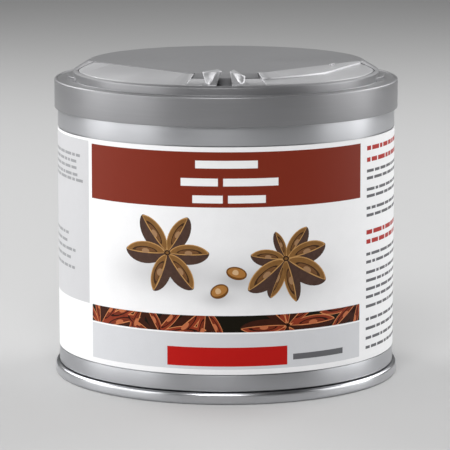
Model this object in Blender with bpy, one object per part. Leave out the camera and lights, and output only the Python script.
"""Round paper can for kitchen spices, shut with a push-on plastic lid.

Metres, +Z up. The origin is the middle of the base, and the front looks towards -Y.
A plan angle is measured from the front, and grows towards +X.
"""

import math

import bmesh
import bpy

# Driving sizes
SEGMENTS = 96
GAP = 0.0003
BODY_RADIUS = 0.0473
RIM_RADIUS = 0.0484
RIM_HEIGHT = 0.0031
LID_RADIUS = 0.0482
LID_BOTTOM = 0.07545
FLANGE_TOP = 0.0832
TOP_HEIGHT = 0.0882

# Metal base end: a rolled seam around a panel that sits higher than the seam's foot
SEAM_FOOT_INNER = 0.0466
SEAM_ROUND = 0.0007
PANEL_BOTTOM = 0.0024
PANEL_TOP = 0.0028

# Tube, with a shallow seat for the label
LABEL_BOTTOM = 0.00813
LABEL_TOP = 0.0700
LABEL_THICKNESS = 0.00022
LABEL_SEAT_DEPTH = 0.00045
TUBE_TOP = FLANGE_TOP - 0.0012 - GAP
TUBE_MOUTH_RADIUS = 0.0470

# Lid: skirt, flange, and a plateau with a raised flat top
SKIRT_INNER_RADIUS = 0.0476
FLANGE_THICKNESS = 0.0012
SKIRT_LIP = 0.0003
PLATEAU_RADIUS = 0.0430
PLATEAU_EDGE = 0.0855
PLATEAU_ROUND = 0.0004
TOP_RADIUS = 0.0385
CREASE_ANGLE = math.radians(47.0)
CREASE_DISTANCE = 0.0294
FRONT_CREASE_DISTANCE = 0.0320

# Crescent bumps beside the plateau, at the outer ends of the flaps
BUMP_RADIUS = 0.0446
BUMP_HEIGHT = 0.0011
BUMP_HALF_ANGLE = math.radians(13.0)

# Flaps, each hinged along a straight crease
FLAP_START = math.radians(15.0)
FLAP_END = math.radians(84.0)
FLAP_OUTER_RADIUS = 0.0416
FLAP_HINGE_GAP = 0.0004
FLAP_THICKNESS = 0.0011
STEP_HEIGHT = 0.00032
STEP_WIDTH = 0.0004
STEP_PLACE = 0.47
STEP_PLACE_END = 0.18

# Pull tab of each flap, in the recess at the front
TAB_INNER_RADIUS = 0.0362
TAB_INNER_TOP = 0.08635
TAB_OUTER_TOP = 0.0859
TAB_THICKNESS = 0.0008
TAB_START = math.radians(2.2)
TAB_END = math.radians(18.0)
RECESS_BREAK_HEIGHT = 0.0865

# Finger grips that stand on the tabs: outer, ridge, inner and back corners
GRIP_FOOT_HEIGHT = 0.0857
LEFT_GRIP_FOOT = ((-0.0057, -0.0396), (-0.0042, -0.0408), (-0.0024, -0.0402), (-0.0036, -0.0372))
LEFT_GRIP_TOP = (
    (-0.0064, -0.0386, 0.0893),
    (-0.0014, -0.0404, 0.0896),
    (-0.0010, -0.0400, 0.0895),
    (-0.0022, -0.0362, 0.0897),
)
RIGHT_GRIP_FOOT = ((0.0050, -0.0394), (0.0040, -0.0408), (0.0016, -0.0402), (0.0027, -0.0372))
RIGHT_GRIP_TOP = (
    (0.0052, -0.0380, 0.0880),
    (0.0012, -0.0404, 0.0896),
    (0.0009, -0.0400, 0.0895),
    (0.0019, -0.0364, 0.0897),
)
SCOOP_RADIUS = 0.0036
SCOOP_DEPTH = 0.0008

# Small catch that stands at the right flap's crease
CATCH_ANGLE = math.radians(68.0)
CATCH_LENGTH = 0.0026
CATCH_WIDTH = 0.0006
CATCH_RISE = 0.0007


def clear_scene():
    """Remove every object of the start-up scene."""
    for item in list(bpy.data.objects):
        bpy.data.objects.remove(item, do_unlink=True)


def plastic_or_metal(name, colour, roughness, metallic):
    """Return a Principled material."""
    material = bpy.data.materials.new(name)
    material.use_nodes = True
    shader = material.node_tree.nodes["Principled BSDF"]
    shader.inputs["Base Color"].default_value = (*colour, 1.0)
    shader.inputs["Roughness"].default_value = roughness
    shader.inputs["Metallic"].default_value = metallic
    return material


def place(name, bm, material=None):
    """Turn a bmesh into a named object with smooth rounds and sharp corners."""
    bmesh.ops.recalc_face_normals(bm, faces=bm.faces[:])
    mesh = bpy.data.meshes.new(name)
    bm.to_mesh(mesh)
    bm.free()
    mesh.shade_smooth()
    mesh.set_sharp_from_angle(angle=math.radians(8.0))
    item = bpy.data.objects.new(name, mesh)
    bpy.context.collection.objects.link(item)
    if material:
        mesh.materials.append(material)
    return item


def hide_as_cutter(item):
    """Mark an object that only shapes another one."""
    item.hide_render = True
    item.display_type = "WIRE"
    return item


def combine(item, other, operation):
    """Cut or join item with another object, which becomes a hidden cutter."""
    step = item.modifiers.new(other.name, "BOOLEAN")
    step.operation = operation
    step.solver = "EXACT"
    step.object = hide_as_cutter(other)


def turn(outline, closed):
    """Spin an outline of (radius, height) points about Z and return the bmesh."""
    bm = bmesh.new()
    points = [bm.verts.new((radius, 0.0, height)) for radius, height in outline]
    for first, second in zip(points, points[1:]):
        bm.edges.new((first, second))
    if closed:
        bm.edges.new((points[-1], points[0]))
    bmesh.ops.spin(
        bm,
        geom=bm.verts[:] + bm.edges[:],
        cent=(0.0, 0.0, 0.0),
        axis=(0.0, 0.0, 1.0),
        angle=math.tau,
        steps=SEGMENTS,
        use_merge=True,
    )
    bmesh.ops.remove_doubles(bm, verts=bm.verts[:], dist=1e-6)
    return bm


def arc(centre_radius, centre_height, radius, start, end, steps):
    """Return points on an arc in the turned outline's plane, angles in degrees."""
    points = []
    for index in range(steps + 1):
        angle = math.radians(start + (end - start) * index / steps)
        points.append((centre_radius + radius * math.cos(angle), centre_height + radius * math.sin(angle)))
    return points


def sweep(angles, section_at):
    """Join the section at each plan angle into one closed bent bar."""
    bm = bmesh.new()
    rings = []
    for angle in angles:
        ring = []
        for radius, height in section_at(angle):
            ring.append(bm.verts.new((radius * math.sin(angle), -radius * math.cos(angle), height)))
        rings.append(ring)
    for first, second in zip(rings, rings[1:]):
        for index, corner in enumerate(first):
            after = (index + 1) % len(first)
            bm.faces.new((corner, first[after], second[after], second[index]))
    bm.faces.new(rings[0])
    bm.faces.new(rings[-1])
    return bm


def steps_between(start, end, count):
    """Return count + 1 evenly spaced values from start to end."""
    return [start + (end - start) * index / count for index in range(count + 1)]


def crease_radius(angle):
    """Return how far the flat top reaches at a plan angle."""
    side = CREASE_DISTANCE / max(math.cos(abs(angle) - CREASE_ANGLE), 0.1)
    front = FRONT_CREASE_DISTANCE / max(math.cos(angle), 0.1)
    return min(side, front, TOP_RADIUS)


def ramp_height(radius, angle):
    """Return the height of the slope from the crease down to the plateau's edge."""
    inner = crease_radius(angle)
    share = (radius - inner) / (PLATEAU_RADIUS - inner)
    return TOP_HEIGHT + (PLATEAU_EDGE - TOP_HEIGHT) * share


def bottom_end(material):
    """Rolled metal seam and the raised panel inside it."""
    outline = [(0.0, PANEL_TOP), (SEAM_FOOT_INNER + SEAM_ROUND, PANEL_TOP)]
    outline += [(SEAM_FOOT_INNER + SEAM_ROUND, RIM_HEIGHT)]
    outline += arc(RIM_RADIUS - SEAM_ROUND, RIM_HEIGHT - SEAM_ROUND, SEAM_ROUND, 90.0, 0.0, 3)
    outline += arc(RIM_RADIUS - SEAM_ROUND, SEAM_ROUND, SEAM_ROUND, 0.0, -90.0, 3)
    outline += [(SEAM_FOOT_INNER, 0.0), (SEAM_FOOT_INNER - 0.0003, PANEL_BOTTOM), (0.0, PANEL_BOTTOM)]
    return place("bottom_end", turn(outline, closed=False), material)


def can_body(material):
    """Filled paper tube, with the seat that the label lies in."""
    seat = BODY_RADIUS - LABEL_SEAT_DEPTH
    outline = [
        (0.0, TUBE_TOP),
        (TUBE_MOUTH_RADIUS, TUBE_TOP),
        (TUBE_MOUTH_RADIUS, LID_BOTTOM + 0.0020),
        (BODY_RADIUS, LID_BOTTOM + 0.0014),
        (BODY_RADIUS, LABEL_TOP + GAP),
        (seat, LABEL_TOP + GAP),
        (seat, LABEL_BOTTOM - GAP),
        (BODY_RADIUS, LABEL_BOTTOM - GAP),
        (BODY_RADIUS, RIM_HEIGHT + GAP),
        (0.0, RIM_HEIGHT + GAP),
    ]
    return place("can_body", turn(outline, closed=False), material)


def label_sleeve(material):
    """Printed paper that runs all the way round the tube."""
    inner = BODY_RADIUS - LABEL_SEAT_DEPTH + GAP
    outer = inner + LABEL_THICKNESS
    outline = [(outer, LABEL_TOP), (outer, LABEL_BOTTOM), (inner, LABEL_BOTTOM), (inner, LABEL_TOP)]
    return place("label_sleeve", turn(outline, closed=True), material)


def lid_blank():
    """Turn the lid without its flaps, then pull its top edge in to the creases."""
    rounding = PLATEAU_ROUND
    outline = [(0.0, TOP_HEIGHT), (TOP_RADIUS, TOP_HEIGHT)]
    outline += [(PLATEAU_RADIUS - rounding, PLATEAU_EDGE + 0.0001)]
    outline += [(PLATEAU_RADIUS, PLATEAU_EDGE - rounding), (PLATEAU_RADIUS, FLANGE_TOP)]
    outline += [(LID_RADIUS - 3.0 * SKIRT_LIP, FLANGE_TOP), (LID_RADIUS - 2.0 * SKIRT_LIP, FLANGE_TOP + SKIRT_LIP)]
    outline += [(LID_RADIUS - SKIRT_LIP, FLANGE_TOP + SKIRT_LIP), (LID_RADIUS, FLANGE_TOP - 0.0002)]
    outline += [(LID_RADIUS, LID_BOTTOM + 0.0001), (LID_RADIUS - 0.0001, LID_BOTTOM)]
    outline += [(SKIRT_INNER_RADIUS, LID_BOTTOM), (SKIRT_INNER_RADIUS, FLANGE_TOP - FLANGE_THICKNESS)]
    outline += [(0.0, FLANGE_TOP - FLANGE_THICKNESS)]
    bm = turn(outline, closed=False)
    for corner in bm.verts:
        radius = math.hypot(corner.co.x, corner.co.y)
        if abs(corner.co.z - TOP_HEIGHT) < 1e-6 and radius > 0.5 * TOP_RADIUS:
            angle = math.atan2(corner.co.x, -corner.co.y)
            scale = crease_radius(angle) / radius
            corner.co.x *= scale
            corner.co.y *= scale
    return bm


def flap_section(angle, stepped, margin):
    """Return the outline of a flap across its width at a plan angle."""
    inner = crease_radius(angle) + FLAP_HINGE_GAP - margin
    outer = FLAP_OUTER_RADIUS + margin
    bottom = FLAP_THICKNESS + margin
    points = [(outer, ramp_height(outer, angle) - bottom), (inner, ramp_height(inner, angle) - bottom)]
    if margin > 0.0:
        return points + [(inner, TOP_HEIGHT + 0.002), (outer, TOP_HEIGHT + 0.002)]
    rise = STEP_HEIGHT if stepped else 0.0
    points.append((inner, ramp_height(inner, angle) + rise))
    if stepped:
        turned = (abs(angle) - FLAP_START) / (FLAP_END - FLAP_START)
        share = STEP_PLACE + (STEP_PLACE_END - STEP_PLACE) * max(0.0, turned - 0.5) * 2.0
        step = inner + (outer - inner) * share
        points.append((step, ramp_height(step, angle) + rise))
        points.append((step + STEP_WIDTH, ramp_height(step + STEP_WIDTH, angle) - 0.00008))
    points.append((outer, ramp_height(outer, angle)))
    return points


def flap_bar(name, side, stepped, margin, material=None):
    """Sweep one flap, or with a margin the cutter of its pocket."""
    widen = margin / FLAP_OUTER_RADIUS
    angles = steps_between(side * (FLAP_START - widen), side * (FLAP_END + widen), 18)
    return place(name, sweep(angles, lambda angle: flap_section(angle, stepped, margin)), material)


def tab_bar(name, side):
    """Sweep the low tab that carries a flap's finger grip."""
    section = [
        (TAB_INNER_RADIUS, TAB_INNER_TOP),
        (FLAP_OUTER_RADIUS - 0.0001, TAB_OUTER_TOP),
        (FLAP_OUTER_RADIUS - 0.0001, TAB_OUTER_TOP - TAB_THICKNESS),
        (TAB_INNER_RADIUS, TAB_INNER_TOP - TAB_THICKNESS),
    ]
    angles = steps_between(side * TAB_START, side * TAB_END, 6)
    return place(name, sweep(angles, lambda angle: section))


def recess_cutter():
    """Cutter of the recess between the flaps."""
    floor = TAB_OUTER_TOP - TAB_THICKNESS - GAP

    def section(angle):
        inner = crease_radius(angle) + 0.0001
        return [
            (inner, TOP_HEIGHT),
            (TAB_INNER_RADIUS - GAP, RECESS_BREAK_HEIGHT),
            (TAB_INNER_RADIUS - GAP, floor + TAB_INNER_TOP - TAB_OUTER_TOP),
            (FLAP_OUTER_RADIUS + GAP, floor),
            (FLAP_OUTER_RADIUS + GAP, TOP_HEIGHT + 0.002),
            (inner, TOP_HEIGHT + 0.002),
        ]

    half_angle = TAB_END + GAP / TAB_INNER_RADIUS
    return place("recess_cutter", sweep(steps_between(-half_angle, half_angle, 10), section))


def bump_bar(name, middle):
    """Low crescent that stands on the flange beside the plateau."""

    def section(angle):
        share = math.cos((angle - middle) / BUMP_HALF_ANGLE * math.pi / 2.0)
        reach = PLATEAU_RADIUS + (BUMP_RADIUS - PLATEAU_RADIUS) * max(share, 0.08)
        top = FLANGE_TOP + BUMP_HEIGHT
        foot = FLANGE_TOP - 0.0004
        root = PLATEAU_RADIUS - 0.0004
        return [(root, foot), (reach, foot), (reach, top - 0.0003), (reach - 0.0001, top), (root, top + 0.0001)]

    angles = steps_between(middle - BUMP_HALF_ANGLE, middle + BUMP_HALF_ANGLE, 12)
    return place(name, sweep(angles, section))


def grip_block(name, foot, top):
    """Loft a finger grip from its four foot corners to its four top corners."""
    bm = bmesh.new()
    low = [bm.verts.new((x, y, GRIP_FOOT_HEIGHT)) for x, y in foot]
    high = [bm.verts.new(corner) for corner in top]
    for index, corner in enumerate(low):
        after = (index + 1) % len(low)
        bm.faces.new((corner, low[after], high[after], high[index]))
    bm.faces.new(low)
    bmesh.ops.triangulate(bm, faces=[bm.faces.new(high)])
    return place(name, bm)


def grip_scoop(name, foot, top):
    """Cutter that hollows a grip's outer face for a fingertip."""
    corners = [(*foot[0], GRIP_FOOT_HEIGHT), (*foot[1], GRIP_FOOT_HEIGHT), top[1], top[0]]
    middle = [sum(corner[axis] for corner in corners) / 4.0 for axis in range(3)]
    across = [top[1][axis] - top[0][axis] for axis in range(3)]
    along = [corners[0][axis] - top[0][axis] for axis in range(3)]
    normal = [
        across[1] * along[2] - across[2] * along[1],
        across[2] * along[0] - across[0] * along[2],
        across[0] * along[1] - across[1] * along[0],
    ]
    length = math.sqrt(sum(part * part for part in normal))
    facing = -1.0 if normal[1] > 0.0 else 1.0
    lift = facing * (SCOOP_RADIUS - SCOOP_DEPTH) / length
    bm = bmesh.new()
    bmesh.ops.create_icosphere(bm, subdivisions=3, radius=SCOOP_RADIUS)
    shift = [middle[axis] + normal[axis] * lift for axis in range(3)]
    shift[2] += 0.0008
    bmesh.ops.translate(bm, verts=bm.verts[:], vec=shift)
    return place(name, bm)


def catch_bar():
    """Small catch on the right flap, beside its crease."""
    radius = crease_radius(CATCH_ANGLE) + FLAP_HINGE_GAP + CATCH_WIDTH
    base = ramp_height(radius, CATCH_ANGLE)
    half = 0.5 * CATCH_LENGTH / radius
    angles = steps_between(CATCH_ANGLE - half, CATCH_ANGLE + half, 2)
    section = [
        (radius - 0.5 * CATCH_WIDTH, base - 0.0003),
        (radius + 0.5 * CATCH_WIDTH, base - 0.0003),
        (radius + 0.5 * CATCH_WIDTH, base + CATCH_RISE),
        (radius - 0.5 * CATCH_WIDTH, base + CATCH_RISE),
    ]
    return place("catch_bar", sweep(angles, lambda angle: section))


def lid_shell(material):
    """Skirt, flange and plateau in one moulding, with pockets for the flaps."""
    shell = place("lid_shell", lid_blank(), material)
    combine(shell, bump_bar("bump_right", math.radians(88.0)), "UNION")
    combine(shell, bump_bar("bump_left", math.radians(-88.0)), "UNION")
    combine(shell, recess_cutter(), "DIFFERENCE")
    combine(shell, flap_bar("pocket_left", -1.0, False, GAP), "DIFFERENCE")
    combine(shell, flap_bar("pocket_right", 1.0, False, GAP), "DIFFERENCE")
    return shell


def flap(name, side, stepped, foot, top, material):
    """Flap with its pull tab and finger grip in one moulding."""
    panel = flap_bar(name, side, stepped, 0.0, material)
    combine(panel, tab_bar(name + "_tab", side), "UNION")
    combine(panel, grip_block(name + "_grip", foot, top), "UNION")
    combine(panel, grip_scoop(name + "_scoop", foot, top), "DIFFERENCE")
    return panel


def build():
    """Model every piece of the can."""
    clear_scene()
    silver = plastic_or_metal("silver_board", (0.50, 0.51, 0.52), 0.38, 0.75)
    tin = plastic_or_metal("tin_rim", (0.62, 0.63, 0.64), 0.28, 1.0)
    paper = plastic_or_metal("label_paper", (0.80, 0.80, 0.80), 0.45, 0.0)
    grey = plastic_or_metal("lid_plastic", (0.30, 0.31, 0.32), 0.42, 0.0)
    bottom_end(tin)
    can_body(silver)
    label_sleeve(paper)
    lid_shell(grey)
    flap("flap_left", -1.0, False, LEFT_GRIP_FOOT, LEFT_GRIP_TOP, grey)
    right = flap("flap_right", 1.0, True, RIGHT_GRIP_FOOT, RIGHT_GRIP_TOP, grey)
    combine(right, catch_bar(), "UNION")


build()
